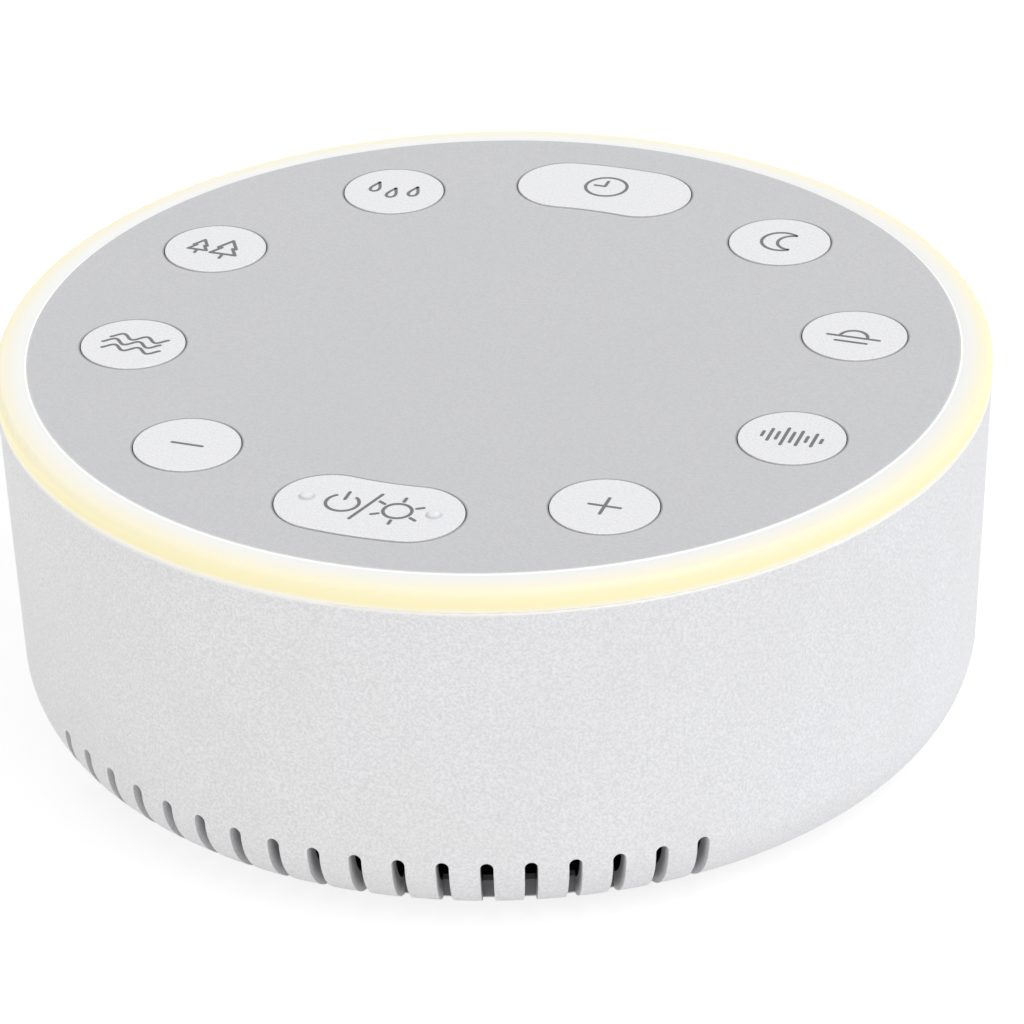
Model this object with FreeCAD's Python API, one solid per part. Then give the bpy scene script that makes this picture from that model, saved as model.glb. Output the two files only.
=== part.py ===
"""Round tabletop white noise machine with a night-light ring and ten push buttons.

Every piece is modelled where it sits, in millimetres. +Z is up, the origin is on the surface that the
feet stand on, under the centre of the disc, and the front, with the power button and the sound slots, is -Y.
"""

import FreeCAD, Part
import math
import os

from FreeCAD import Vector

# Outer shape
foot_proud = 0.8  # how far the feet lift the housing off the table
housing_height = 40.1
rim_radius = 56.0
wall_lean = 1.15  # how much smaller the radius is where the straight wall meets the lower corner
corner_radius = 8.0
wall = 2.2
rim_edge_radius = 0.3
wall_foot_radius = rim_radius - wall_lean

# Sound slots in the lower front corner of the housing
slot_count = 18
slot_pitch_deg = 5.0
slot_width = 1.45
slot_height = 8.4
slot_depth = 5.85  # from the foot of the straight wall in to the back of each slot
slot_floor_radius = wall_foot_radius - slot_depth

# Light ring and top panel
ring_rise = 2.7  # height of the ring that shows above the housing
ring_crown = 0.15  # the lit band swells this much between its inner edge and its shoulder
ring_shoulder_width = 0.9
ring_shoulder_drop = 1.1
ring_band = 3.4  # width of the lit band seen from above
ring_ledge_width = 2.6
ring_skirt_depth = 2.4
skirt_clearance = 0.4
panel_gap = 0.1
panel_thickness = 2.1
panel_edge_radius = 0.1
panel_radius = rim_radius - ring_band - panel_gap
ring_ledge_inner_radius = panel_radius + panel_gap - ring_ledge_width
panel_rib_margin = 5.65  # from the buttons in to the stiffening rib
panel_rib_width = 1.2
panel_rib_height = 1.5

# Buttons
button_inset = 11.9  # from the panel's edge in to the middle of the buttons
button_step_deg = 36.0
button_radius = 5.9
button_circle_radius = panel_radius - button_inset
panel_rib_radius = button_circle_radius - button_radius - panel_rib_margin
bean_half_angle_deg = 6.5  # the two long buttons run this far each side of their middle
cap_proud = 0.1
cap_clearance = 0.1
cap_edge_radius = 0.12
cap_wall = 1.2
cap_flange_width = 1.0
cap_flange_thickness = 1.2
cap_post_recess = 0.8  # the post runs this far below the flange, to the switch
cap_travel = 0.3  # down to the stop inside the switch
cap_post_radius = 1.9
key_width = 1.2
key_clearance = 0.2
collar_clearance = 0.2
collar_wall = 1.0
collar_depth = 1.9
dome_radius = 0.95
dome_height = 0.5
dome_spread = 7.2
dome_inset = 0.6  # the two domes sit this far inside the button circle

# Switches and boards
switch_size = 6.0
switch_edge_radius = 0.4
switch_body_height = 3.5
stem_radius = 1.7
stem_clearance = 0.1
stem_proud = 1.5
stem_engagement = 1.4
stem_end_gap = 0.3  # left under the stem when its button is fully down
board_thickness = 1.6
board_boss_inset = 7.0  # from the panel's rib in to the bosses that carry the board
board_boss_circle_radius = panel_rib_radius - board_boss_inset
board_boss_radius = 2.8
light_board_clearance = 0.4
light_board_width = 8.0
light_board_inner_radius = rim_radius - wall - light_board_clearance - light_board_width - 0.2
light_board_outer_radius = light_board_inner_radius + light_board_width
light_board_thickness = 1.0
light_gap = 0.2  # between the lights and the ring above them
boards_gap = 0.6
board_radius = light_board_inner_radius - boards_gap
light_count = 30
light_length = 3.5
light_width = 2.8
light_height = 0.8

# Lugs in the housing that carry the light board and take the panel screws
lug_angles_deg = (36.0, 144.0, 216.0, 324.0)
lug_inset = 9.0
lug_circle_radius = rim_radius - lug_inset
lug_radius = 2.7
lug_thickness = 3.0
panel_boss_radius = 2.6
boss_notch_clearance = 0.4

# Base cover, feet and the bosses that the base screws go into
base_thickness = 2.0
base_edge_inset = 0.85  # from the start of the rounded corner in to the cover's edge
base_radius = wall_foot_radius - corner_radius - base_edge_inset
base_clearance = 0.2
ledge_thickness = 1.2
base_screw_inset = 3.6
base_screw_circle_radius = base_radius - base_screw_inset
base_boss_radius = 2.4
ledge_inner_radius = base_screw_circle_radius - base_boss_radius + 0.2
base_boss_height = 6.5
foot_radius = 5.0
foot_thickness = 1.8
foot_inset = 9.0
foot_circle_radius = base_radius - foot_inset
foot_clearance = 0.1
foot_edge_radius = 0.4

# Speaker, facing down, on a baffle carried by posts of the base cover
baffle_clearance = 0.6  # lets the baffle pass the ledge with the base cover
baffle_radius = ledge_inner_radius - baffle_clearance
baffle_thickness = 2.0
baffle_height = 8.2  # clear height between the base cover and the baffle
post_radius = 2.8
post_circle_radius = baffle_radius - post_radius - 0.1
surround_thickness = 0.3
surround_roll_outer_radius = 22.6
surround_roll_width = 3.0
surround_lip_width = 1.2
surround_roll_inner_radius = surround_roll_outer_radius - surround_roll_width
surround_inner_radius = surround_roll_inner_radius - surround_lip_width
surround_clearance = 0.4
baffle_hole_radius = surround_roll_outer_radius + surround_clearance
gasket_width = 3.0
gasket_outer_radius = baffle_hole_radius + gasket_width
gasket_thickness = 0.8
surround_outer_radius = gasket_outer_radius - surround_clearance
flange_radius = gasket_outer_radius + 0.5
flange_inner_radius = baffle_hole_radius + 0.2
speaker_screw_offset = 2.1  # from the flange's edge out to the middle of its ears
speaker_screw_circle_radius = flange_radius + speaker_screw_offset
speaker_boss_radius = 2.4
speaker_boss_depth = 2.5
flange_thickness = 1.2
flange_ear_radius = 3.2
basket_taper = 8.6
basket_top_radius = flange_inner_radius + 1.0 - basket_taper
basket_wall = 1.0
basket_window_count = 6
spider_ring_width = 4.1
spider_ring_radius = basket_top_radius - spider_ring_width
spider_ring_thickness = 1.0
spider_thickness = 0.3
coil_inner_radius = 6.75
former_wall = 0.15
winding_wall = 0.2
winding_height = 2.4
pole_radius = coil_inner_radius - 0.35
gap_radius = coil_inner_radius + former_wall + winding_wall + 0.3
yoke_inset = 1.6  # from the top of the basket in to the edge of the steel plates
yoke_radius = basket_top_radius - yoke_inset
yoke_thickness = 2.0
magnet_overhang = 1.0  # the magnet stands this far out past its plates
magnet_radius = yoke_radius + magnet_overhang
magnet_inner_radius = 9.0
magnet_thickness = 3.5
back_plate_thickness = 1.6
magnet_headroom = 1.3  # left between the back plate and the control board
cone_wall = 0.4
dust_cap_overlap = 1.15
dust_cap_radius = coil_inner_radius + dust_cap_overlap
dust_cap_depth = 2.0

# Screws
small_screw_radius = 1.1
screw_head_radius = 2.1
screw_head_height = 1.4
pilot_clearance = 0.05
shank_clearance = 0.25
base_head_depth = 0.9
base_head_height = 0.8
panel_screw_length = 7.5
board_screw_length = 6.5
baffle_screw_length = 7.0
speaker_screw_length = 5.8
inlet_screw_length = 3.6
base_screw_length = 6.5

# Power inlet at the rear
inlet_height = 20.0  # centre of the socket mouth above the table
socket_width = 8.95
socket_depth = 3.25
socket_length = 7.4
socket_wall = 0.3
socket_hole_clearance = 0.15
tongue_width = 6.7
tongue_thickness = 0.7
inlet_board_width = 20.0
inlet_board_length = 8.6
inlet_board_thickness = 1.0
inlet_board_wall_gap = 0.3
inlet_lug_spread = 7.4
inlet_lug_radius = 2.3
inlet_lug_thickness = 3.0

# Leads inside the housing
lead_diameter = 1.2
lead_spacing = 1.5
connector_width = 5.4
connector_length = 4.0
connector_height = 3.0

# Heights that follow from the sizes above
body_z = foot_proud
rim_z = body_z + housing_height
panel_top_z = rim_z + ring_rise
panel_bottom_z = panel_top_z - panel_thickness
cap_top_z = panel_top_z + cap_proud
cap_flange_z = panel_bottom_z - cap_flange_thickness
ring_bottom_z = rim_z - ring_skirt_depth
light_board_z = ring_bottom_z - light_gap - light_height - light_board_thickness
lug_z = light_board_z - lug_thickness
stem_top_z = cap_flange_z - cap_post_recess
switch_top_z = stem_top_z - stem_proud
board_top_z = switch_top_z - switch_body_height
board_z = board_top_z - board_thickness
base_top_z = body_z + base_thickness
ledge_top_z = base_top_z + ledge_thickness
baffle_z = base_top_z + baffle_height
baffle_top_z = baffle_z + baffle_thickness
surround_z = baffle_top_z + gasket_thickness
flange_z = surround_z + surround_thickness
basket_z = flange_z + flange_thickness
back_plate_z = board_z - magnet_headroom - back_plate_thickness
magnet_z = back_plate_z - magnet_thickness
yoke_z = magnet_z - yoke_thickness
spider_ring_z = yoke_z - spider_ring_thickness

taper = math.atan2(rim_radius - wall_foot_radius, housing_height - corner_radius)
inlet_board_z = inlet_height - socket_depth / 2 - inlet_board_thickness
QUARTERS_DEG = (0.0, 90.0, 180.0, 270.0)
DIAGONALS_DEG = (45.0, 135.0, 225.0, 315.0)
UP = Vector(0, 0, 1)

BUTTONS = (  # name, angle from +X in steps of button_step_deg counted from the front, bean shaped or round
    ("power_light", 0, True),
    ("volume_up", 1, False),
    ("white_noise", 2, False),
    ("calm", 3, False),
    ("relax", 4, False),
    ("timer", 5, True),
    ("rain", 6, False),
    ("forest", 7, False),
    ("ocean", 8, False),
    ("volume_down", 9, False),
)


def polar(radius, angle_deg, z=0.0):
    """The point at a radius and an angle round the axis of the disc."""
    a = math.radians(angle_deg)
    return Vector(radius * math.cos(a), radius * math.sin(a), z)


def cylinder(radius, z_low, z_high, centre=Vector(0, 0, 0)):
    return Part.makeCylinder(radius, z_high - z_low, Vector(centre.x, centre.y, z_low), UP)


def tube(outer, inner, z_low, z_high, centre=Vector(0, 0, 0)):
    return cylinder(outer, z_low, z_high, centre).cut(cylinder(inner, z_low, z_high, centre))


def block(x_low, x_high, y_low, y_high, z_low, z_high):
    return Part.makeBox(x_high - x_low, y_high - y_low, z_high - z_low, Vector(x_low, y_low, z_low))


def turned(shape, angle_deg):
    """A copy turned about the axis of the disc."""
    copy = shape.copy()
    copy.rotate(Vector(0, 0, 0), UP, angle_deg)
    return copy


def revolved(outline):
    """A full turn of a closed outline of (radius, height) points. An item with three points is an arc's
    start, middle and end."""
    edges = []
    corners = [(item[0], item[-1]) if isinstance(item[0], tuple) else (item, item) for item in outline]
    for k, item in enumerate(outline):
        if isinstance(item[0], tuple):
            start, middle, end = (Vector(r, 0, z) for r, z in item)
            edges.append(Part.Arc(start, middle, end).toShape())
        leave, reach = corners[k][1], corners[(k + 1) % len(outline)][0]
        if math.dist(leave, reach) > 1e-6:
            edges.append(Part.makeLine(Vector(leave[0], 0, leave[1]), Vector(reach[0], 0, reach[1])))
    face = Part.Face(Part.Wire(edges))
    solid = face.revolve(Vector(0, 0, 0), UP, 360)
    return solid if solid.Volume > 0 else solid.reversed()


def arc(centre_r, centre_z, radius, from_deg, to_deg):
    """Start, middle and end of an arc in the radius and height plane, for revolved()."""
    angles = (math.radians(a) for a in (from_deg, (from_deg + to_deg) / 2, to_deg))
    return tuple((centre_r + radius * math.cos(a), centre_z + radius * math.sin(a)) for a in angles)


def bean_face(angle_deg, grow, z):
    """The outline of a long button: a band of the button circle with round ends, grown outwards by grow."""
    half = button_radius + grow
    first, last = angle_deg - bean_half_angle_deg, angle_deg + bean_half_angle_deg
    outer, inner = button_circle_radius + half, button_circle_radius - half

    def end_tip(at_deg, side):
        tangent = polar(1, at_deg + 90 * side)
        return polar(button_circle_radius, at_deg, z) + tangent * half

    edges = [
        Part.Arc(polar(outer, first, z), polar(outer, angle_deg, z), polar(outer, last, z)).toShape(),
        Part.Arc(polar(outer, last, z), end_tip(last, 1), polar(inner, last, z)).toShape(),
        Part.Arc(polar(inner, last, z), polar(inner, angle_deg, z), polar(inner, first, z)).toShape(),
        Part.Arc(polar(inner, first, z), end_tip(first, -1), polar(outer, first, z)).toShape(),
    ]
    return Part.Face(Part.Wire(edges))


def button_prism(angle_deg, is_bean, grow, z_low, z_high):
    """The button's plan outline, grown by grow, as a prism between two heights."""
    if is_bean:
        return bean_face(angle_deg, grow, z_low).extrude(Vector(0, 0, z_high - z_low))
    return cylinder(button_radius + grow, z_low, z_high, polar(button_circle_radius, angle_deg))


def button_angle(step):
    return -90.0 + step * button_step_deg


def key_block(angle_deg, grow, z_low, z_high):
    """The locating key on the outer side of a button, which stops it turning."""
    inner = button_circle_radius + button_radius
    outer = inner + cap_flange_width + collar_clearance + collar_wall
    half = key_width / 2 + grow
    return turned(block(inner, outer + grow, -half, half, z_low, z_high), angle_deg)


def rounded(shape, radius, is_wanted):
    """Fillets the edges that is_wanted picks."""
    edges = [e for e in shape.Edges if is_wanted(e)]
    return shape.makeFillet(radius, edges) if edges else shape


def flat_at(z):
    """Picks edges that lie wholly at one height."""
    return lambda e: abs(e.BoundBox.ZMin - z) < 1e-4 and abs(e.BoundBox.ZMax - z) < 1e-4


def screw(centre, seat_z, length, points_down, head_height=screw_head_height):
    """A pan-head screw whose head rests on seat_z, with a cross recess in the head and a chamfered tip."""
    head = cylinder(screw_head_radius, 0, head_height)
    head = rounded(head, head_height * 0.35, flat_at(head_height))
    cross_depth = head_height * 0.5
    cross = block(-1.2, 1.2, -0.25, 0.25, head_height - cross_depth, head_height)
    head = head.cut(cross).cut(turned(cross, 90))
    shank = cylinder(small_screw_radius, -length + small_screw_radius, 0)
    tip = Part.makeCone(small_screw_radius * 0.3, small_screw_radius, small_screw_radius, Vector(0, 0, -length), UP)
    solid = head.fuse([shank, tip]).removeSplitter()
    if not points_down:
        solid.rotate(Vector(0, 0, 0), Vector(1, 0, 0), 180)
    solid.translate(Vector(centre.x, centre.y, seat_z))
    return solid


# Housing


def housing_outline(outer_offset):
    """Centre of the lower corner and the outer radius at the rim, for the wall set in by outer_offset."""
    corner_r = wall_foot_radius - corner_radius / math.cos(taper)
    corner_z = body_z + corner_radius
    return corner_r, corner_z, rim_radius - outer_offset / math.cos(taper)


def outer_radius_at(z):
    """Outer radius of the housing's straight wall at a height."""
    return rim_radius - (rim_z - z) * math.tan(taper)


def housing_shell():
    """Tapered tub, open at the top and bottom, with a rounded lower corner, a ledge for the base cover,
    four bosses for the base screws, four lugs under the light board, two inlet lugs and the sound slots."""
    corner_r, corner_z, rim_inner = housing_outline(wall)
    taper_deg = math.degrees(taper)
    inner_corner = corner_radius - wall
    ledge_angle = -math.degrees(math.asin((corner_z - ledge_top_z) / inner_corner))
    opening = base_radius + base_clearance
    edge_z = rim_z - rim_edge_radius
    edge_r = outer_radius_at(edge_z) - rim_edge_radius / math.cos(taper)
    shell = revolved(
        [
            (opening, body_z),
            arc(corner_r, corner_z, corner_radius, -90, -taper_deg),
            arc(edge_r, edge_z, rim_edge_radius, -taper_deg, 90),
            (rim_inner, rim_z),
            arc(corner_r, corner_z, inner_corner, -taper_deg, ledge_angle),
            (ledge_inner_radius, ledge_top_z),
            (ledge_inner_radius, base_top_z),
            (opening, base_top_z),
        ]
    )
    outside = revolved(
        [
            (0.0, body_z),
            arc(corner_r, corner_z, corner_radius - wall / 2, -90, -taper_deg),
            (rim_radius - wall / 2, rim_z),
            (0.0, rim_z),
        ]
    )
    for angle in QUARTERS_DEG:
        boss = cylinder(
            base_boss_radius, base_top_z, ledge_top_z + base_boss_height, polar(base_screw_circle_radius, angle)
        )
        shell = shell.fuse(boss)
    for angle in lug_angles_deg:
        arm = block(lug_circle_radius, rim_radius, -lug_radius, lug_radius, lug_z, lug_z + lug_thickness)
        pad = cylinder(lug_radius, lug_z, lug_z + lug_thickness, Vector(lug_circle_radius, 0, 0))
        shell = shell.fuse(turned(arm.fuse(pad), angle).common(outside))
    for side in (-1, 1):
        at = Vector(side * inlet_lug_spread, inlet_screw_y(), 0)
        low, high = inlet_board_z - inlet_lug_thickness, inlet_board_z
        arm = block(at.x - inlet_lug_radius, at.x + inlet_lug_radius, at.y, rim_radius, low, high)
        pad = cylinder(inlet_lug_radius, low, high, at)
        shell = shell.fuse(arm.fuse(pad).common(outside))
        shell = shell.cut(cylinder(small_screw_radius + pilot_clearance, low, high, at))
    for angle in QUARTERS_DEG:
        hole = cylinder(
            small_screw_radius + pilot_clearance,
            base_top_z,
            ledge_top_z + base_boss_height,
            polar(base_screw_circle_radius, angle),
        )
        shell = shell.cut(hole)
    for angle in lug_angles_deg:
        hole = cylinder(
            small_screw_radius + shank_clearance, lug_z, lug_z + lug_thickness, polar(lug_circle_radius, angle)
        )
        shell = shell.cut(hole)
    shell = shell.cut(socket_prism(socket_hole_clearance, inlet_mouth_y() - socket_length, rim_radius))
    return shell.cut(slot_cutters()).removeSplitter()


def slot_cutters():
    """The round-topped cutters of the sound slots, side by side round the front."""
    top = body_z + slot_height - slot_width / 2
    reach = rim_radius + wall
    leaf = block(slot_floor_radius, reach, -slot_width / 2, slot_width / 2, 0, top)
    start = Vector(slot_floor_radius, 0, top)
    crown = Part.makeCylinder(slot_width / 2, reach - slot_floor_radius, start, Vector(1, 0, 0))
    cutter = leaf.fuse(crown)
    first = -90.0 - (slot_count - 1) / 2 * slot_pitch_deg
    return [turned(cutter, first + k * slot_pitch_deg) for k in range(slot_count)]


# Light ring and top panel


def light_ring():
    """Milky diffuser: the lit band that shows, a skirt inside the housing rim and a ledge that carries the panel."""
    inner = panel_radius + panel_gap
    skirt = housing_outline(wall)[2] - skirt_clearance
    shoulder = rim_radius - ring_shoulder_width
    edge_z = panel_top_z - ring_crown
    crown = ((inner, edge_z), ((inner + shoulder) / 2, panel_top_z), (shoulder, edge_z))
    bulge = 0.3
    drop_r = rim_radius - bulge * ring_shoulder_width
    drop_z = edge_z - bulge * (ring_shoulder_drop - ring_crown)
    side_z = panel_top_z - ring_shoulder_drop
    return revolved(
        [
            crown,
            ((shoulder, edge_z), (drop_r, drop_z), (rim_radius, side_z)),
            (rim_radius, rim_z),
            (skirt, rim_z),
            (skirt, ring_bottom_z),
            (ring_ledge_inner_radius, ring_bottom_z),
            (ring_ledge_inner_radius, panel_bottom_z),
            (inner, panel_bottom_z),
        ]
    )


def top_panel():
    """Grey disc with ten button openings, a collar under each, a stiffening rib and the screw bosses."""
    panel = cylinder(panel_radius, panel_bottom_z, panel_top_z)
    adds = [
        tube(
            panel_rib_radius + panel_rib_width, panel_rib_radius, panel_bottom_z - panel_rib_height, panel_bottom_z
        )
    ]
    cuts = []
    collar_low = panel_bottom_z - collar_depth
    for _, step, is_bean in BUTTONS:
        angle = button_angle(step)
        well = cap_flange_width + collar_clearance
        adds.append(button_prism(angle, is_bean, well + collar_wall, collar_low, panel_bottom_z))
        cuts.append(button_prism(angle, is_bean, well, collar_low, panel_bottom_z))
        cuts.append(button_prism(angle, is_bean, cap_clearance, panel_bottom_z, panel_top_z))
        cuts.append(key_block(angle, key_clearance, collar_low, panel_bottom_z))
    for angle in lug_angles_deg:
        at = polar(lug_circle_radius, angle)
        adds.append(cylinder(panel_boss_radius, light_board_z, panel_bottom_z, at))
        cuts.append(cylinder(small_screw_radius + pilot_clearance, light_board_z, panel_bottom_z, at))
    for angle in DIAGONALS_DEG:
        at = polar(board_boss_circle_radius, angle)
        adds.append(cylinder(board_boss_radius, board_top_z, panel_bottom_z, at))
        cuts.append(cylinder(small_screw_radius + pilot_clearance, board_top_z, panel_bottom_z, at))
    panel = panel.fuse(adds).cut(cuts).removeSplitter()
    return rounded(panel, panel_edge_radius, flat_at(panel_top_z))


# Buttons and switches


def button_cap(step, is_bean):
    """Moulded cap: a hollow top that fills its opening, a flange that stops under the panel, a locating key
    and a post that stands on the switch stem."""
    angle = button_angle(step)
    centre = polar(button_circle_radius, angle)
    cap = button_prism(angle, is_bean, 0, cap_flange_z, cap_top_z)
    cap = rounded(cap, cap_edge_radius, flat_at(cap_top_z))
    flange = button_prism(angle, is_bean, cap_flange_width, cap_flange_z, panel_bottom_z)
    cap = cap.fuse([flange, key_block(angle, 0, cap_flange_z, panel_bottom_z)])
    cap = cap.cut(button_prism(angle, is_bean, -cap_wall, cap_flange_z, cap_top_z - cap_wall))
    cap = cap.fuse(cylinder(cap_post_radius, stem_top_z, cap_top_z - cap_wall / 2, centre))
    return cap.removeSplitter()


def tactile_domes(step):
    """Two small domes on the power button, which let a hand find it in the dark."""
    ball_radius = (dome_radius**2 + dome_height**2) / (2 * dome_height)
    domes = []
    for side in (-1, 1):
        at = Vector(side * dome_spread, -button_circle_radius + dome_inset, cap_top_z + dome_height - ball_radius)
        ball = Part.makeSphere(ball_radius, at)
        above = cylinder(dome_radius + 0.2, cap_top_z - cap_edge_radius, cap_top_z + dome_height, at)
        domes.append(turned(ball.common(above), button_angle(step) + 90.0))
    return domes


def switch_stem(step):
    """The plunger of a tact switch, which moves with its cap."""
    centre = polar(button_circle_radius, button_angle(step))
    return cylinder(stem_radius, switch_top_z - stem_engagement, stem_top_z, centre)


def tact_switches():
    """The fixed bodies of the ten tact switches."""
    half = switch_size / 2
    well_low = switch_top_z - stem_engagement - cap_travel - stem_end_gap
    bodies = []
    for _, step, _ in BUTTONS:
        body = block(-half, half, -half, half, board_top_z, switch_top_z)
        body = rounded(body, switch_edge_radius, flat_at(switch_top_z))
        body = body.cut(cylinder(stem_radius + stem_clearance, well_low, switch_top_z))
        body.translate(Vector(button_circle_radius, 0, 0))
        bodies.append(turned(body, button_angle(step)))
    return Part.makeCompound(bodies)


# Boards


def boss_notches(z_low, z_high):
    """Clearance round the panel bosses and the lugs."""
    radius = lug_radius + boss_notch_clearance
    return [cylinder(radius, z_low, z_high, polar(lug_circle_radius, angle)) for angle in lug_angles_deg]


def control_board():
    """Main circuit board, screwed under the panel."""
    board = cylinder(board_radius, board_z, board_top_z).cut(boss_notches(board_z, board_top_z))
    holes = [
        cylinder(small_screw_radius + shank_clearance, board_z, board_top_z, polar(board_boss_circle_radius, a))
        for a in DIAGONALS_DEG
    ]
    return board.cut(holes)


def board_parts():
    """Sound chip, amplifier, memory and capacitors under the control board."""
    chip_height = 1.0
    amplifier_height = 1.5
    capacitor_height = 5.0
    capacitor_radius = 3.1
    circle = board_radius * 0.67
    low = board_z - chip_height
    pieces = [
        block(-circle - 3.5, -circle + 3.5, -3.5, 3.5, low, board_z),
        block(circle - 2.5, circle + 2.5, -5.0, -1.0, board_z - amplifier_height, board_z),
        block(circle - 2.5, circle + 2.5, 2.0, 6.0, board_z - amplifier_height, board_z),
    ]
    for angle in (-54.0, -126.0):
        place = polar(circle, angle)
        capacitor = cylinder(capacitor_radius, board_z - capacitor_height, board_z, place)
        pieces.append(rounded(capacitor, 0.4, flat_at(board_z - capacitor_height)))
    return Part.makeCompound(pieces)


def light_board():
    """Ring-shaped board that carries the lights and lies on the housing's lugs."""
    top = light_board_z + light_board_thickness
    board = tube(light_board_outer_radius, light_board_inner_radius, light_board_z, top)
    notch = panel_boss_radius + boss_notch_clearance
    return board.cut([cylinder(notch, light_board_z, top, polar(lug_circle_radius, a)) for a in lug_angles_deg])


def light_circle_radius():
    """Middle of the ring's ledge, so that the lights shine into it."""
    return (ring_ledge_inner_radius + housing_outline(wall)[2] - skirt_clearance) / 2


def ring_lights():
    """The separate light-emitting diodes on the light board."""
    z = light_board_z + light_board_thickness
    mid = light_circle_radius()
    chip = block(
        mid - light_width / 2, mid + light_width / 2, -light_length / 2, light_length / 2, z, z + light_height
    )
    return Part.makeCompound([turned(chip, (k + 0.5) * 360.0 / light_count) for k in range(light_count)])


# Speaker


def speaker_baffle():
    """Plate on the base cover's posts that carries the speaker face down, its ears on four bosses."""
    plate = cylinder(baffle_radius, baffle_z, baffle_top_z)
    boss_low = baffle_z - speaker_boss_depth
    bosses = [
        cylinder(speaker_boss_radius, boss_low, flange_z, polar(speaker_screw_circle_radius, a))
        for a in DIAGONALS_DEG
    ]
    skirt = tube(baffle_hole_radius + 1.2, baffle_hole_radius, baffle_z - 1.2, baffle_z)
    cuts = [cylinder(baffle_hole_radius, baffle_z - 1.2, baffle_top_z)]
    for a in DIAGONALS_DEG:
        at = polar(speaker_screw_circle_radius, a)
        cuts.append(cylinder(small_screw_radius + pilot_clearance, boss_low, flange_z, at))
    for a in QUARTERS_DEG:
        at = polar(post_circle_radius, a)
        cuts.append(cylinder(small_screw_radius + shank_clearance, baffle_z, baffle_top_z, at))
    return plate.fuse([skirt, *bosses]).cut(cuts).removeSplitter()


def speaker_gasket():
    """Foam ring between the baffle and the speaker."""
    return tube(gasket_outer_radius, baffle_hole_radius, baffle_top_z, surround_z)


def speaker_surround():
    """Rubber half roll that joins the cone to the basket."""
    low, high = surround_z, flange_z
    middle = (surround_roll_inner_radius + surround_roll_outer_radius) / 2
    outer = (surround_roll_outer_radius - surround_roll_inner_radius) / 2
    inner = outer - surround_thickness
    return revolved(
        [
            (surround_inner_radius, low),
            arc(middle, low, outer, 180, 360),
            (surround_outer_radius, low),
            (surround_outer_radius, high),
            (surround_roll_outer_radius - surround_thickness, high),
            arc(middle, low, inner, 360, 180),
            (surround_roll_inner_radius + surround_thickness, high),
            (surround_inner_radius, high),
        ]
    )


def speaker_frame():
    """Pressed basket: a flange with four ears, a conical wall with windows and a ring under the magnet."""
    top = spider_ring_z + spider_ring_thickness
    frame = revolved(
        [
            (flange_inner_radius, flange_z),
            (flange_radius, flange_z),
            (flange_radius, basket_z),
            (flange_inner_radius + basket_wall, basket_z),
            (basket_top_radius, top),
            (spider_ring_radius, top),
            (spider_ring_radius, spider_ring_z),
            (basket_top_radius - basket_wall, spider_ring_z),
            (flange_inner_radius, basket_z),
        ]
    )
    ears = [
        cylinder(flange_ear_radius, flange_z, basket_z, polar(speaker_screw_circle_radius, a)).cut(
            cylinder(flange_inner_radius, flange_z, basket_z)
        )
        for a in DIAGONALS_DEG
    ]
    frame = frame.fuse(ears)
    holes = [
        cylinder(small_screw_radius + shank_clearance, flange_z, basket_z, polar(speaker_screw_circle_radius, a))
        for a in DIAGONALS_DEG
    ]
    window_low, window_high = basket_z + 1.6, spider_ring_z - 1.2
    half = 4.2
    windows = [
        turned(
            block(spider_ring_radius, flange_radius, -half, half, window_low, window_high),
            k * 360.0 / basket_window_count,
        )
        for k in range(basket_window_count)
    ]
    return frame.cut(holes + windows).removeSplitter()


def cone_neck_z():
    return spider_ring_z - 2.4


def speaker_cone():
    """Paper cone, mouth down, with a glued lip on the surround."""
    lip_low, lip_high = flange_z, flange_z + cone_wall
    neck = coil_inner_radius + former_wall
    lip_outer = surround_roll_inner_radius + surround_thickness
    return revolved(
        [
            (surround_inner_radius, lip_low),
            (lip_outer, lip_low),
            (lip_outer, lip_high),
            (surround_inner_radius + cone_wall, lip_high),
            (neck, cone_neck_z() + cone_wall * 1.6),
            (neck, cone_neck_z()),
        ]
    )


def dust_cap():
    """Domed cap glued over the middle of the cone, bulging down."""
    slope = (cone_neck_z() - flange_z) / (surround_inner_radius - coil_inner_radius - former_wall)
    seat_z = cone_neck_z() - slope * (dust_cap_radius - coil_inner_radius - former_wall) - 0.2
    ball = (dust_cap_radius**2 + dust_cap_depth**2) / (2 * dust_cap_depth)
    centre_z = seat_z - dust_cap_depth + ball
    shell = 0.3
    edge = -math.degrees(math.acos(dust_cap_radius / ball))
    inner = ball - shell
    inner_edge = -math.degrees(math.acos((dust_cap_radius - shell / 2) / inner))
    return revolved(
        [
            arc(0.0, centre_z, ball, -90, edge),
            arc(0.0, centre_z, inner, inner_edge, -90),
        ]
    )


def voice_coil():
    """Former tube with its copper winding, hanging in the magnet's gap."""
    outer = coil_inner_radius + former_wall
    former = tube(outer, coil_inner_radius, cone_neck_z(), magnet_z + 0.4)
    middle = yoke_z + yoke_thickness / 2
    winding = tube(outer + winding_wall, outer, middle - winding_height / 2, middle + winding_height / 2)
    return former.fuse(winding).removeSplitter()


def speaker_spider():
    """Corrugated cloth disc that centres the voice coil."""
    inner = coil_inner_radius + former_wall + 0.1
    outer = basket_top_radius - basket_wall - 0.4
    low, high = spider_ring_z - spider_thickness, spider_ring_z
    disc = tube(outer, inner, low, high)
    for k in range(3):
        at = inner + 0.7 + k * 1.1
        disc = disc.fuse(tube(at + 0.5, at, low - 0.3, low))
        disc = disc.cut(tube(at + 0.4, at + 0.1, low - 0.15, high))
    return disc.removeSplitter()


def yoke_plate():
    """Steel washer in front of the magnet."""
    return tube(yoke_radius, gap_radius, yoke_z, magnet_z)


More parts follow.
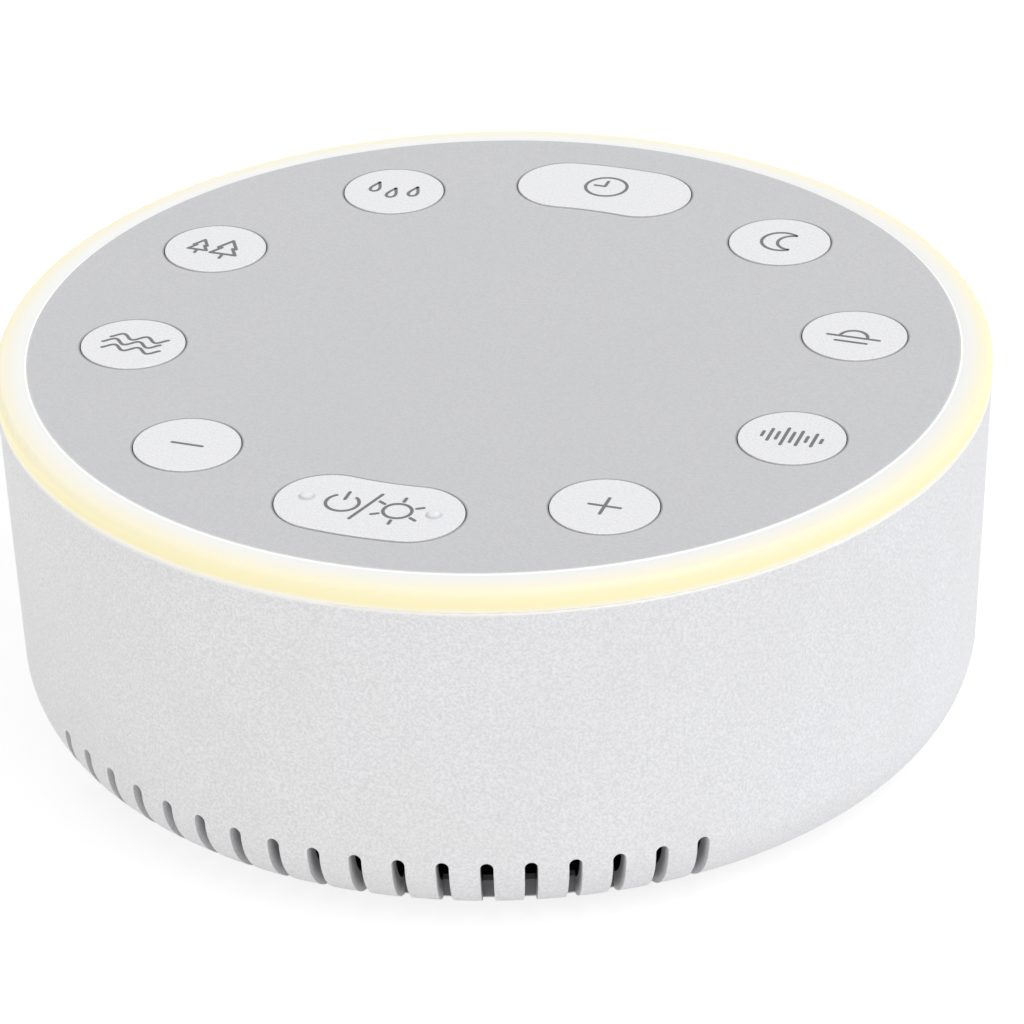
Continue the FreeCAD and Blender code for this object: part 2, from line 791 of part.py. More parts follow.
def speaker_magnet():
    """Ferrite ring."""
    ring = tube(magnet_radius, magnet_inner_radius, magnet_z, back_plate_z)
    return rounded(ring, 0.4, lambda e: flat_at(magnet_z)(e) or flat_at(back_plate_z)(e))


def back_plate():
    """Steel plate behind the magnet with its pole piece."""
    plate = cylinder(yoke_radius, back_plate_z, back_plate_z + back_plate_thickness)
    return plate.fuse(cylinder(pole_radius, yoke_z, back_plate_z)).removeSplitter()


def terminal_y():
    """Middle of the flat that is left on the flange outside the basket's wall."""
    return (flange_inner_radius + basket_wall + flange_radius) / 2


def speaker_terminals():
    """Insulating strip on the flange with two solder tags."""
    y = terminal_y()
    strip = block(-4.5, 4.5, y - 1.05, y + 1.05, basket_z, basket_z + 1.2)
    pieces = [strip]
    for side in (-1, 1):
        x = side * lead_spacing
        pieces.append(block(x - 0.9, x + 0.9, y - 0.9, y + 0.9, basket_z + 1.2, basket_z + 1.5))
    return pieces[0].fuse(pieces[1:]).removeSplitter()


# Base


def base_cover():
    """Bottom disc in the housing's opening, with foot recesses, screw wells and posts for the baffle."""
    cover = cylinder(base_radius, body_z, base_top_z)
    cover = rounded(cover, 0.3, flat_at(body_z))
    posts = [cylinder(post_radius, base_top_z, baffle_z, polar(post_circle_radius, a)) for a in QUARTERS_DEG]
    rib_low, rib_high = base_top_z, base_top_z + 1.2
    reach = post_circle_radius - post_radius / 2
    ribs = [block(-reach, reach, -0.6, 0.6, rib_low, rib_high), block(-0.6, 0.6, -reach, reach, rib_low, rib_high)]
    ribs.append(tube(18.6, 17.4, rib_low, rib_high))
    cover = cover.fuse(posts + ribs)
    cuts = []
    for a in QUARTERS_DEG:
        at = polar(base_screw_circle_radius, a)
        cuts.append(cylinder(small_screw_radius + shank_clearance, body_z, base_top_z, at))
        cuts.append(cylinder(screw_head_radius + shank_clearance, body_z, body_z + base_head_depth, at))
        cuts.append(
            cylinder(small_screw_radius + pilot_clearance, base_top_z, baffle_z, polar(post_circle_radius, a))
        )
    recess = foot_thickness - foot_proud
    for a in DIAGONALS_DEG:
        at = polar(foot_circle_radius, a)
        cuts.append(cylinder(foot_radius + foot_clearance, body_z, body_z + recess, at))
    return cover.cut(cuts).removeSplitter()


def rubber_feet():
    """Four stick-on pads."""
    pads = []
    for a in DIAGONALS_DEG:
        pad = cylinder(foot_radius, 0, foot_thickness, polar(foot_circle_radius, a))
        pads.append(rounded(pad, foot_edge_radius, flat_at(0)))
    return Part.makeCompound(pads)


# Power inlet


def inlet_mouth_y():
    """The socket's mouth is flush with the wall at the socket's edges."""
    at_wall = outer_radius_at(inlet_height)
    return math.sqrt(at_wall**2 - (socket_width / 2) ** 2)


def inlet_board_edge_y():
    inner = outer_radius_at(inlet_height) - wall
    return math.sqrt(inner**2 - (inlet_board_width / 2) ** 2) - inlet_board_wall_gap


def inlet_screw_y():
    return inlet_board_edge_y() - inlet_board_length + inlet_lug_radius + 0.3


def socket_prism(grow, y_low, y_high):
    """The socket's rounded outline, grown by grow, as a prism along Y."""
    height = socket_depth + 2 * grow
    half = socket_width / 2 + grow - height / 2
    middle = Part.makeBox(2 * half, y_high - y_low, height, Vector(-half, y_low, inlet_height - height / 2))
    ends = [
        Part.makeCylinder(height / 2, y_high - y_low, Vector(side * half, y_low, inlet_height), Vector(0, 1, 0))
        for side in (-1, 1)
    ]
    return middle.fuse(ends).removeSplitter()


def socket_shell():
    """Drawn metal shell of the power socket, open to the rear and closed at its back."""
    mouth = inlet_mouth_y()
    outer = socket_prism(0, mouth - socket_length, mouth)
    return outer.cut(socket_prism(-socket_wall, mouth - socket_length + 1.0, mouth))


def socket_tongue():
    """Contact tongue inside the socket, fixed to the back of the shell."""
    mouth = inlet_mouth_y()
    back = mouth - socket_length + 1.0
    half = tongue_width / 2
    tongue = block(
        -half, half, back, mouth - 1.6, inlet_height - tongue_thickness / 2, inlet_height + tongue_thickness / 2
    )
    root_half = socket_depth / 2 - socket_wall - 0.05
    root_reach = half - 0.4
    root = block(-root_reach, root_reach, back, back + 1.0, inlet_height - root_half, inlet_height + root_half)
    return tongue.fuse(root).removeSplitter()


def inlet_board():
    """Small circuit board behind the rear wall, on two lugs."""
    edge = inlet_board_edge_y()
    half = inlet_board_width / 2
    board = block(-half, half, edge - inlet_board_length, edge, inlet_board_z, inlet_board_z + inlet_board_thickness)
    holes = [
        cylinder(
            small_screw_radius + shank_clearance,
            inlet_board_z,
            inlet_board_z + inlet_board_thickness,
            Vector(side * inlet_lug_spread, inlet_screw_y(), 0),
        )
        for side in (-1, 1)
    ]
    return board.cut(holes)


# Leads and their connectors


def connector_places():
    """Plan position and length of each connector under the control board: speaker, inlet and light ring."""
    inlet = polar(board_radius - 7.0, 115.0)
    return {
        "speaker": (0.0, terminal_y() + connector_length),
        "inlet": (inlet.x, inlet.y),
        "light": (-(board_radius - connector_length - 0.6), 0.0),
    }


def lead_connectors():
    """The plug blocks where the leads meet the control board."""
    blocks = []
    for name, (x, y) in connector_places().items():
        half_x, half_y = connector_width / 2, connector_length / 2
        if name == "light":
            half_x, half_y = half_y, half_x
        blocks.append(block(x - half_x, x + half_x, y - half_y, y + half_y, board_z - connector_height, board_z))
    return Part.makeCompound(blocks)


def lead(points):
    """A round wire along straight runs joined by tangent arcs, each as large as its two runs allow."""
    edges = []
    at = points[0]
    for k in range(1, len(points) - 1):
        before, corner, after = points[k - 1], points[k], points[k + 1]
        run_in, run_out = corner - before, after - corner
        turn = run_in.getAngle(run_out)
        cut_back = 0.45 * min(run_in.Length, run_out.Length)
        to_start = run_in.normalize() * cut_back
        to_end = run_out.normalize() * cut_back
        start, end = corner - to_start, corner + to_end
        bend = cut_back / math.tan(turn / 2)
        chord_middle = (start + end) / 2
        inward = chord_middle - corner
        depth = inward.Length
        centre_distance = math.hypot(bend, cut_back)
        middle = corner + inward.normalize() * (centre_distance - bend) if depth > 1e-9 else chord_middle
        edges.append(Part.makeLine(at, start))
        edges.append(Part.Arc(start, middle, end).toShape())
        at = end
    edges.append(Part.makeLine(at, points[-1]))
    path = Part.Wire(edges)
    ring = Part.Wire([Part.makeCircle(lead_diameter / 2, points[0], points[1] - points[0])])
    return path.makePipeShell([ring], True, False)


def speaker_leads():
    """Pair of wires from the speaker's tags up to the control board."""
    _, y_end = connector_places()["speaker"]
    y = terminal_y()
    low, high = basket_z + 1.5, board_z - connector_height
    wires = []
    for side in (-1, 1):
        x = side * lead_spacing
        wires.append(
            lead([Vector(x, y, low), Vector(x, y, low + 4.0), Vector(x, y_end, high - 4.0), Vector(x, y_end, high)])
        )
    return Part.makeCompound(wires)


def inlet_leads():
    """Pair of wires from the inlet board up to the control board."""
    x_end, y_end = connector_places()["inlet"]
    y = inlet_board_edge_y() - inlet_board_length + 1.4
    low, high = inlet_board_z + inlet_board_thickness, board_z - connector_height
    wires = []
    for side in (-1, 1):
        x = side * lead_spacing
        wires.append(
            lead(
                [
                    Vector(x - 1.0, y, low),
                    Vector(x - 1.0, y, low + 4.0),
                    Vector(x_end + x, y_end, high - 3.6),
                    Vector(x_end + x, y_end, high),
                ]
            )
        )
    return Part.makeCompound(wires)


def light_leads():
    """Pair of wires that loop from the light board down and in to the control board."""
    x_end, _ = connector_places()["light"]
    x = -(light_board_inner_radius + 1.4)
    low = board_z - connector_height - 5.0
    wires = []
    for side in (-1, 1):
        y = side * lead_spacing
        wires.append(
            lead(
                [
                    Vector(x, y, light_board_z),
                    Vector(x, y, low),
                    Vector(x_end, y, low),
                    Vector(x_end, y, board_z - connector_height),
                ]
            )
        )
    return Part.makeCompound(wires)


# Fasteners


def panel_screws():
    return Part.makeCompound(
        [screw(polar(lug_circle_radius, a), lug_z, panel_screw_length, False) for a in lug_angles_deg]
    )


def board_screws():
    return Part.makeCompound(
        [screw(polar(board_boss_circle_radius, a), board_z, board_screw_length, False) for a in DIAGONALS_DEG]
    )


def baffle_screws():
    return Part.makeCompound(
        [screw(polar(post_circle_radius, a), baffle_top_z, baffle_screw_length, True) for a in QUARTERS_DEG]
    )


def speaker_screws():
    return Part.makeCompound(
        [screw(polar(speaker_screw_circle_radius, a), basket_z, speaker_screw_length, True) for a in DIAGONALS_DEG]
    )


def inlet_screws():
    seat = inlet_board_z + inlet_board_thickness
    places = [Vector(side * inlet_lug_spread, inlet_screw_y(), 0) for side in (-1, 1)]
    return Part.makeCompound([screw(at, seat, inlet_screw_length, True) for at in places])


def base_screws():
    seat = body_z + base_head_depth
    return Part.makeCompound(
        [
            screw(polar(base_screw_circle_radius, a), seat, base_screw_length, False, base_head_height)
            for a in QUARTERS_DEG
        ]
    )


def export(node, shape):
    shape.exportStep(f"parts/{node}.step")
    solids = shape.Solids
    print(f"{node}: {len(solids)} solids, {sum(s.Volume for s in solids):.1f} mm3, valid {shape.isValid()}")


def main():
    os.makedirs("parts", exist_ok=True)
    pieces = [
        housing_shell, light_ring, top_panel, tact_switches, control_board, board_parts, light_board, ring_lights,
        speaker_baffle, speaker_gasket, speaker_surround, speaker_frame, speaker_cone, dust_cap, voice_coil,
        speaker_spider, yoke_plate, speaker_magnet, back_plate, speaker_terminals, base_cover, rubber_feet,
        socket_shell, socket_tongue, inlet_board, lead_connectors, speaker_leads, inlet_leads, light_leads,
        panel_screws, board_screws, baffle_screws, speaker_screws, inlet_screws, base_screws,
    ]
    for piece in pieces:
        export(piece.__name__, piece())
    for name, step, is_bean in BUTTONS:
        cap = button_cap(step, is_bean)
        if name == "power_light":
            cap = cap.fuse(tactile_domes(step)).removeSplitter()
        export(f"{name}_button", cap)
        export(f"{name}_stem", switch_stem(step))


main()
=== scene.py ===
"""Looks for a round tabletop sound machine: white housing, lit ring, grey panel and ten push buttons."""

import bpy
import numpy as np
from mathutils import Matrix, Vector


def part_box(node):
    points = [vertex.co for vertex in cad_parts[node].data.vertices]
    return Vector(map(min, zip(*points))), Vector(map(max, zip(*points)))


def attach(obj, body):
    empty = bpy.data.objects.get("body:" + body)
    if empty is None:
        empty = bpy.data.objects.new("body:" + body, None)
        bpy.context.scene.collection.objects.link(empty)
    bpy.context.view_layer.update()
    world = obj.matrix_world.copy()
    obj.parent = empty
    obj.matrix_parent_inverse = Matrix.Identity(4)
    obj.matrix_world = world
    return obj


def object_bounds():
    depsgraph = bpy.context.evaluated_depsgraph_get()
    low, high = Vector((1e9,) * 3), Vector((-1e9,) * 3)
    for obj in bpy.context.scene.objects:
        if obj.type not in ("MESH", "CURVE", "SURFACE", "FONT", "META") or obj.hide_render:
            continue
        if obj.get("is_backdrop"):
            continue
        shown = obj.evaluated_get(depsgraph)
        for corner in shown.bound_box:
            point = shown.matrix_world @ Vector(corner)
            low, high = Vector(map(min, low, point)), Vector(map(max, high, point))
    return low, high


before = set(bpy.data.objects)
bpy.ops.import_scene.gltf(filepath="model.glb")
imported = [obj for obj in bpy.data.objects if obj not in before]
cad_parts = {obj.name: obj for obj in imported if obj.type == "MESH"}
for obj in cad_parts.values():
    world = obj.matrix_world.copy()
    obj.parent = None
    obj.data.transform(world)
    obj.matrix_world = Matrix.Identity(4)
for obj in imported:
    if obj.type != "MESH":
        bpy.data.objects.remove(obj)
cad_box = [list(corner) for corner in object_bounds()]


# Housing: the white tub that everything else goes into, and the plate that closes it from below.
# Injection-moulded ABS with a fine spark-eroded grain outside, left white as it comes from the tool.
# The sound slots are cut through the lower front corner, and their walls and the cavity behind them are painted
# dark as painted shade.
class Tap:
    """One shader socket. Arithmetic on it adds Math nodes to its finish."""

    def __init__(self, finish, socket):
        self.finish, self.socket = finish, socket

    def _maths(self, operation, *values):
        return self.finish.node("ShaderNodeMath", {"operation": operation}, *values)

    def __add__(self, other):
        return self._maths("ADD", self, other)

    def __sub__(self, other):
        return self._maths("SUBTRACT", self, other)

    def __mul__(self, other):
        return self._maths("MULTIPLY", self, other)

    def __truediv__(self, other):
        return self._maths("DIVIDE", self, other)

    def __pow__(self, other):
        return self._maths("POWER", self, other)

    def __rsub__(self, other):
        return self._maths("SUBTRACT", other, self)

    def __abs__(self):
        return self._maths("ABSOLUTE", self)

    def __round__(self):
        return self._maths("ROUND", self)

    __radd__ = __add__
    __rmul__ = __mul__

    def smaller(self, other):
        return self._maths("MINIMUM", self, other)

    def larger(self, other):
        return self._maths("MAXIMUM", self, other)

    def sine(self):
        return self._maths("SINE", self)

    def cosine(self):
        return self._maths("COSINE", self)

    def step(self, low, high):
        """0 up to low, 1 from high, smooth in between."""
        settings = {"interpolation_type": "SMOOTHSTEP"}
        return self.finish.node("ShaderNodeMapRange", settings, self, low, high, 0.0, 1.0)

    def fade(self, low, high):
        """1 up to low, 0 from high, smooth in between."""
        return 1.0 - self.step(low, high)


class Finish:
    """A node material under one name, with a method that adds any node."""

    def __init__(self, name):
        self.material = bpy.data.materials.new(name)
        self.material.use_nodes = True
        self.nodes = self.material.node_tree.nodes
        self.links = self.material.node_tree.links
        self.shader = next(n for n in self.nodes if n.type == "BSDF_PRINCIPLED")

    def plug(self, socket, value):
        if isinstance(value, Tap):
            self.links.new(value.socket, socket)
        else:
            socket.default_value = value

    def node(self, kind, settings, *values, out=0, **named):
        """Adds a node, applies its settings, then fills its sockets by place or by name."""
        made = self.nodes.new(kind)
        for key, value in settings.items():
            if key == "stops":
                ramp = made.color_ramp
                for place, colour in value[len(ramp.elements) :]:
                    ramp.elements.new(place)
                for element, (place, colour) in zip(ramp.elements, value):
                    element.position, element.color = place, colour
            else:
                setattr(made, key, value)
        for socket, value in zip(made.inputs, values):
            self.plug(socket, value)
        for key, value in named.items():
            self.plug(made.inputs[key.replace("_", " ")], value)
        return Tap(self, made.outputs[out])

    def point(self):
        """The place on the object, as one vector in metres."""
        return self.node("ShaderNodeTexCoord", {}, out="Object")

    def place(self):
        """X, Y and Z on the object and the distance from its upright axis, in millimetres."""
        split = self.node("ShaderNodeSeparateXYZ", {}, self.point()).socket.node
        x, y, z = (Tap(self, split.outputs[axis]) * 1000.0 for axis in "XYZ")
        return x, y, z, (x * x + y * y) ** 0.5

    def noise(self, size_mm, detail=2.0, roughness=0.5, distortion=0.0, point=None):
        """Soft noise about 0.5 whose grains are size_mm across."""
        return self.node(
            "ShaderNodeTexNoise",
            {},
            Vector=point or self.point(),
            Scale=1000.0 / size_mm,
            Detail=detail,
            Roughness=roughness,
            Distortion=distortion,
        )

    def blend(self, mask, first, second):
        """The first colour where the mask is 0 and the second where it is 1."""
        mixer = self.node("ShaderNodeMix", {"data_type": "RGBA"}).socket.node
        factor = mixer.inputs[0]
        first_socket, second_socket = (s for s in mixer.inputs if s.type == "RGBA")
        for socket, value in ((factor, mask), (first_socket, first), (second_socket, second)):
            self.plug(socket, value)
        return Tap(self, next(s for s in mixer.outputs if s.type == "RGBA"))

    def bumped(self, height, depth_mm, strength=1.0):
        """A normal tilted by a height that runs from 0 to 1 over depth_mm."""
        depth = depth_mm / 1000.0
        return self.node("ShaderNodeBump", {}, Strength=strength, Distance=depth, Height=height, out="Normal")

    def surface(self, **sockets):
        """Sets the shader's own sockets, given in its words with underscores for spaces."""
        for key, value in sockets.items():
            self.plug(self.shader.inputs[key.replace("_", " ")], value)


def tint(red, green, blue):
    """Linear colour of an 8-bit screen colour."""
    screen = np.array([red, green, blue]) / 255.0
    linear = np.where(screen <= 0.04045, screen / 12.92, ((screen + 0.055) / 1.055) ** 2.4)
    return (*linear.tolist(), 1.0)


def dress(material, *names):
    """Puts a finish on CAD nodes."""
    for name in names:
        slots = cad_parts[name].material_slots
        if slots:
            slots[0].material = material
        else:
            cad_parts[name].data.materials.append(material)


corner_at, corner_height, wall_lean = 46.85, 8.8, 0.035
cavity_shade_skin, slot_side_shade = (5.84, 5.98), (6.4, 7.9)
slot_end_at, slot_mouth = (49.05, 49.4), (7.8, 7.95)
rim_glow_band = (40.3, 40.75)
housing = Finish("moulded_white")
x, y, z, radius = housing.place()
grain = housing.noise(0.3, roughness=0.6)
pits = housing.noise(0.55, detail=1.0)
cloud = housing.noise(14.0)
shade = housing.blend(grain.step(0.3, 0.7), tint(224, 224, 226), tint(242, 242, 244))
shade = housing.blend(cloud.step(0.35, 0.7) * 0.2, shade, tint(224, 223, 221))
# Painted light: a near white band at the top of the wall next to the ring, for the ring's glow falling on the
# rim.
shade = housing.blend(z.step(*rim_glow_band), shade, tint(254, 253, 248))
# Distance out from the centre line of the lower corner, which leans with the wall above it.
outward = radius - corner_at - (z - corner_height).larger(0.0) * wall_lean
depth = (outward * outward + (z - corner_height).smaller(0.0) ** 2.0) ** 0.5
# Painted shade: the slot walls within the wall's thickness painted darker, for the shade inside the slots.
shade = housing.blend(depth.fade(*slot_side_shade), shade, tint(176, 176, 178))
# Painted shade: the far end walls of the slots painted mid grey, for the shade at the back of each slot.
slot_end_shade = radius.fade(*slot_end_at) * depth.fade(*slot_mouth)
shade = housing.blend(slot_end_shade, shade, tint(132, 132, 134))
# Painted shade: the inner skin of the housing painted near black, for the shade in the closed cavity behind the
# slots.
shade = housing.blend(depth.fade(*cavity_shade_skin), shade, tint(54, 54, 55))
housing.surface(
    Base_Color=shade,
    Roughness=pits * 0.16 + 0.5,
    Specular_IOR_Level=0.42,
    Normal=housing.bumped(grain * 0.75 + pits * 0.25, 0.04, 0.75),
)
dress(housing.material, "housing_shell", "base_cover")


# Camera and studio: a plain pale floor, an even pale surround and one broad soft light from the right.
# The camera stands about 0.6 m off, a little to the right of the front and 29 degrees up, as in the photograph.
# The floor shows itself as near white to the eye but still takes the soft shadow of the machine.
turn, tilt, roll = np.radians([19.6, 29.3, -1.4])
aim_height, distance, slide_right, slide_up = 0.0438, 0.596, 0.0021, -0.0195
focal_px, frame_px, sensor_mm = 5300.0, 1024.0, 36.0
back = Vector((np.sin(turn) * np.cos(tilt), -np.cos(turn) * np.cos(tilt), np.sin(tilt)))
right = Vector((np.cos(turn), np.sin(turn), 0.0))
up = back.cross(right)
rolled_right = right * float(np.cos(roll)) + up * float(np.sin(roll))
rolled_up = up * float(np.cos(roll)) - right * float(np.sin(roll))
stand = Vector((0.0, 0.0, aim_height)) + back * distance + rolled_right * slide_right + rolled_up * slide_up
eye = bpy.data.cameras.new("studio_camera")
eye.sensor_width = sensor_mm
eye.lens = focal_px / frame_px * sensor_mm
eye.clip_end = 50.0
eye_object = bpy.data.objects.new("studio_camera", eye)
columns = Matrix((rolled_right, rolled_up, back)).transposed()
eye_object.matrix_world = Matrix.Translation(stand) @ columns.to_4x4()
bpy.context.scene.collection.objects.link(eye_object)
bpy.context.scene.camera = eye_object
bpy.context.scene.view_settings.view_transform = "Standard"


class Backdrop(Finish):
    """A node tree for the world or the floor, with one look for what is seen and one for what is lit."""

    def __init__(self, holder, output):
        holder.use_nodes = True
        self.nodes, self.links = holder.node_tree.nodes, holder.node_tree.links
        self.nodes.clear()
        self.output = self.nodes.new(output)

    def show(self, lit, seen):
        """Camera, mirror and see-through rays meet the seen look, and all other light meets the lit one."""
        path = self.node("ShaderNodeLightPath", {}).socket.node.outputs
        rays = [Tap(self, path[f"Is {kind} Ray"]) for kind in ("Camera", "Glossy", "Transmission")]
        direct = rays[0].larger(rays[1]).larger(rays[2])
        mixed = self.node("ShaderNodeMixShader", {}, direct, lit, seen)
        self.plug(self.output.inputs["Surface"], mixed)


world = bpy.data.worlds.new("pale_surround")
bpy.context.scene.world = world
sky = Backdrop(world, "ShaderNodeOutputWorld")
sky.show(
    lit=sky.node("ShaderNodeBackground", {}, (0.99, 0.992, 1.0, 1.0), 0.62),
    seen=sky.node("ShaderNodeBackground", {}, (1.0, 1.0, 1.0, 1.0), 1.0),
)


def soft_lamp(name, share, from_front_deg, height_deg, spread_deg, colour):
    """A wide sun lamp; share is the light it gives a surface that faces it, as a part of full white."""
    lamp = bpy.data.lights.new(name, "SUN")
    lamp.energy = share * np.pi
    lamp.angle = float(np.radians(spread_deg))
    lamp.color = colour
    holder = bpy.data.objects.new(name, lamp)
    side, height = np.radians([from_front_deg - 90.0, height_deg])
    aim = Vector((np.cos(side) * np.cos(height), np.sin(side) * np.cos(height), np.sin(height)))
    holder.rotation_euler = aim.to_track_quat("Z", "Y").to_euler()
    bpy.context.scene.collection.objects.link(holder)


soft_lamp("key_from_right", 0.41, 81.6, 56.0, 50.0, (0.965, 0.975, 1.0))
soft_lamp("fill_from_left", 0.14, -32.0, 15.0, 60.0, (1.0, 0.95, 0.84))

floor_reach, floor_cells = 3.0, 6
reach = np.linspace(-floor_reach, floor_reach, floor_cells + 1)
grid_x, grid_y = np.meshgrid(reach, reach, indexing="ij")
floor_points = np.stack([grid_x, grid_y, np.zeros_like(grid_x)], -1).reshape(-1, 3)
row = floor_cells + 1
low = (np.arange(floor_cells)[:, None] * row + np.arange(floor_cells)[None, :]).ravel()
floor_faces = np.stack([low, low + row, low + row + 1, low + 1], -1)
floor_mesh = bpy.data.meshes.new("studio_floor")
floor_mesh.from_pydata(floor_points.tolist(), [], floor_faces.tolist())
floor = bpy.data.objects.new("studio_floor", floor_mesh)
bpy.context.scene.collection.objects.link(floor)
paper = bpy.data.materials.new("pale_paper")
sheet = Backdrop(paper, "ShaderNodeOutputMaterial")
faint = sheet.node("ShaderNodeBsdfDiffuse", {}, (0.24, 0.24, 0.24, 1.0))
bright = sheet.node("ShaderNodeEmission", {}, (1.0, 1.0, 1.0, 1.0), 0.82)
sheet.show(
    lit=sheet.node("ShaderNodeBsdfDiffuse", {}, (0.92, 0.92, 0.92, 1.0)),
    seen=sheet.node("ShaderNodeAddShader", {}, faint, bright),
)
floor_mesh.materials.append(paper)
floor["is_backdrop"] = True


# Light ring: the milky diffuser between the panel and the housing.
# Opal polycarbonate over a ring of warm lights: near white beside the panel and butter yellow toward its foot.
# It drops into the housing on its skirt and is held by the panel's screws.
inner_edge, outer_edge, ring_top, ring_foot = 52.5, 56.0, 43.6, 40.9
out_share, down_share = 0.49, 0.872
ring = Finish("warm_diffuser")
x, y, z, radius = ring.place()
# How far down the crown a point lies, 0 at the panel and 1 at the foot; more yellow at the sides and behind.
fall = (radius - inner_edge) * out_share + (ring_top - z) * down_share
fall = fall / ((outer_edge - inner_edge) * out_share + (ring_top - ring_foot) * down_share)
crown = fall.step(0.05, 0.4) * fall.fade(0.55, 0.9)
fall = fall + y.step(-35.0, 15.0) * crown * 0.15
pools = ring.noise(9.0, detail=1.0)
stops = [
    (0.0, tint(244, 245, 245)),
    (0.1, tint(251, 251, 247)),
    (0.22, tint(253, 250, 238)),
    (0.42, tint(254, 247, 219)),
    (0.66, tint(255, 246, 204)),
    (0.88, tint(253, 243, 196)),
    (0.95, tint(251, 245, 213)),
    (1.0, tint(252, 251, 244)),
]
glow = ring.node("ShaderNodeValToRGB", {"stops": stops}, fall + (pools - 0.5) * 0.06)
inner_wall = radius.fade(inner_edge + 0.12, inner_edge + 0.18)
brightness = fall.step(0.1, 0.8) * 0.13 + 0.42 + inner_wall * 0.4
black = tint(0, 0, 0)
ring.surface(
    Base_Color=ring.blend(0.3, glow, black),
    Roughness=ring.noise(0.6) * 0.1 + 0.4,
    Specular_IOR_Level=0.25,
    Emission_Color=ring.blend(brightness, black, glow),
    Emission_Strength=0.62,
    Normal=ring.bumped(ring.noise(0.35), 0.01, 0.5),
)
dress(ring.material, "light_ring")


# Top panel: the grey disc inside the ring, whose edge is painted lighter and given a faint painted glow for the
# ring's light.
# Moulded ABS with a fine matt grain, pierced for the buttons and screwed to the housing from below.
panel_edge, gap_shade_inner, gap_shade_outer = 52.5, 6.06, 6.28
key_pitch, half_length, keys_at = float(np.radians(36.0)), float(np.radians(6.5)), 40.6
panel = Finish("matte_grey")
x, y, z, radius = panel.place()
grain = panel.noise(0.3, detail=3.0, roughness=0.7)
cloud = panel.noise(22.0)
shade = panel.blend(grain.step(0.3, 0.7), tint(198, 198, 199), tint(209, 209, 210))
shade = panel.blend(cloud.step(0.3, 0.75) * 0.2, shade, tint(198, 199, 201))
# Painted light: the outer 0.3 mm of the panel painted lighter, for the ring's glow falling on its edge.
shade = panel.blend(radius.step(panel_edge - 0.3, panel_edge), shade, tint(222, 222, 223))
# Painted shade: the walls of the key openings just under the panel's top painted dark grey, for the shade in
# the openings.
opening_wall_shade = z.fade(43.5, 43.59) * radius.fade(50.0, 51.0)
shade = panel.blend(opening_wall_shade, shade, tint(112, 112, 114))
# Painted shade round each key: keys are counted from the front, and the two long ones are numbers 0 and 5.
bearing = panel.node("ShaderNodeMath", {"operation": "ARCTAN2"}, x, y * -1.0)
nearest = round(bearing / key_pitch)
is_long = abs(abs(nearest) - 2.5).step(1.9, 2.1)
aside = (abs(bearing - nearest * key_pitch) - is_long * half_length).larger(0.0)
from_key = (radius * radius + keys_at**2 - radius * aside.cosine() * (2.0 * keys_at)) ** 0.5
# Painted shade: a dark line on the panel just beyond each opening, for the shadow in the gap round the cap.
shade = panel.blend(from_key.fade(gap_shade_inner, gap_shade_outer) * 0.65, shade, tint(108, 108, 110))
# Painted light: the panel's outer edge wall glows warm white through its emission, for the ring's light on it.
painted_edge_glow = radius.step(panel_edge - 0.06, panel_edge) * z.step(42.0, 42.4)
panel.surface(
    Base_Color=shade,
    Roughness=grain * 0.12 + 0.5,
    Specular_IOR_Level=0.35,
    Emission_Color=panel.blend(painted_edge_glow, black, tint(246, 245, 240)),
    Emission_Strength=0.34,
    Normal=panel.bumped(grain, 0.03, 0.6),
)
dress(panel.material, "top_panel")


# Button caps: ten off-white keys, eight round and two bean shaped.
# Moulded ABS, a touch smoother than the housing, each free in its opening on a switch plunger.
cap_side_shade, dome_foot_shade, dome_crown = (43.2, 43.55), (43.71, 43.76), (43.85, 44.1)
cap = Finish("key_plastic")
x, y, z, radius = cap.place()
grain = cap.noise(0.26, roughness=0.6)
shade = cap.blend(grain.step(0.3, 0.7), tint(230, 230, 231), tint(243, 243, 244))
# Painted shade: the caps' sides below the top painted darker, for the shade in the gap round each cap.
shade = cap.blend(z.fade(*cap_side_shade), shade, tint(170, 170, 172))
# Painted shade: a darker ring round the foot of each dome, for the shade where the dome meets the cap.
shade = cap.blend(z.step(*dome_foot_shade) * z.fade(*dome_crown), shade, tint(206, 206, 209))
cap.surface(
    Base_Color=shade,
    Roughness=grain * 0.12 + 0.42,
    Specular_IOR_Level=0.4,
    Normal=cap.bumped(grain, 0.025, 0.6),
)
sound_keys = ("rain", "forest", "ocean", "relax", "calm", "white_noise")
keys = (*sound_keys, "power_light", "timer", "volume_up", "volume_down")
dress(cap.material, *(f"{key}_button" for key in keys))


# Printed marks: thin grey lines of ink on the caps, one sign or picture a key.
# Pad-printed after moulding, about two hundredths of a millimetre proud, and carried by the cap.
# Their sizes are in millimetres, and each mark is brought to metres when it is joined.
ink_half_width, overprint = 0.19, 0.0015
cap_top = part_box("rain_button")[1][2] * 1000.0
ink_low, ink_high = cap_top - 0.02, cap_top + 0.022


